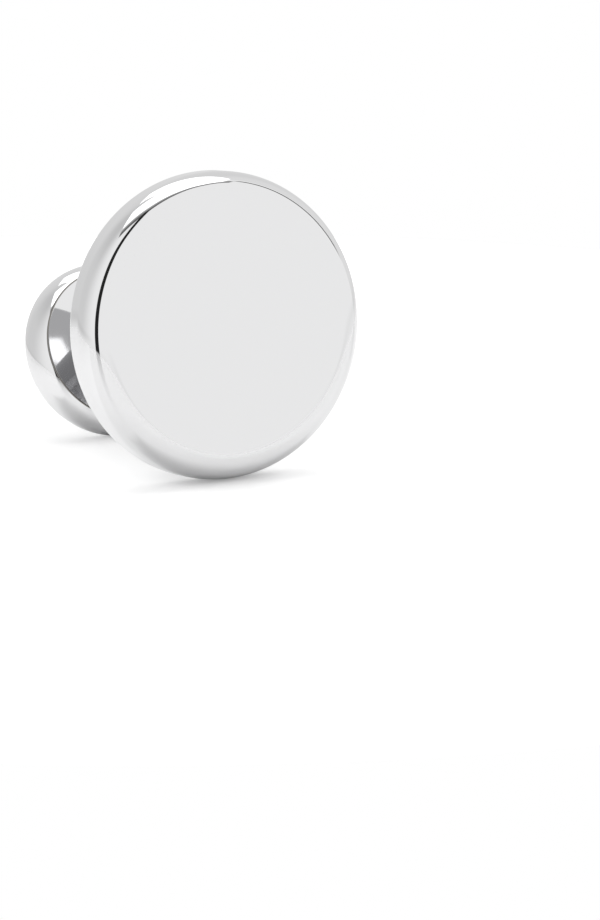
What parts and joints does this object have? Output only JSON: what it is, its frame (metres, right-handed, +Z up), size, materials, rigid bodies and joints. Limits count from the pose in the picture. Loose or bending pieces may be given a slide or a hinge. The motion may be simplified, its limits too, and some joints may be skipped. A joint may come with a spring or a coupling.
{
  "type": "cufflink",
  "caption": "Round mirror-polished cufflink: a flat face disc with a wide soft edge, a curved post and a smaller fixed round button back.",
  "frame": {"origin": "centre of the bounding box at its base: the point on the table under the middle of the link as it lies on the rims of its two discs", "axes": "+Z up from the table; +Y from the face disc towards the button back; +X across the link, which is the same on both sides of x = 0. The face looks towards -Y and 6.4 degrees up"},
  "size_m": [0.019, 0.021, 0.019],
  "materials": {
    "polished_metal": "mirror-polished silver-coloured plating with faint wiping marks",
    "filler_metal": "plated brazed fillet, polished but a little wavy"
  },
  "bodies": {
    "root": {"face_disc": "polished_metal", "post": "polished_metal", "button_back": "polished_metal", "face_braze": "filler_metal", "button_braze": "filler_metal"}
  },
  "joints": []
}
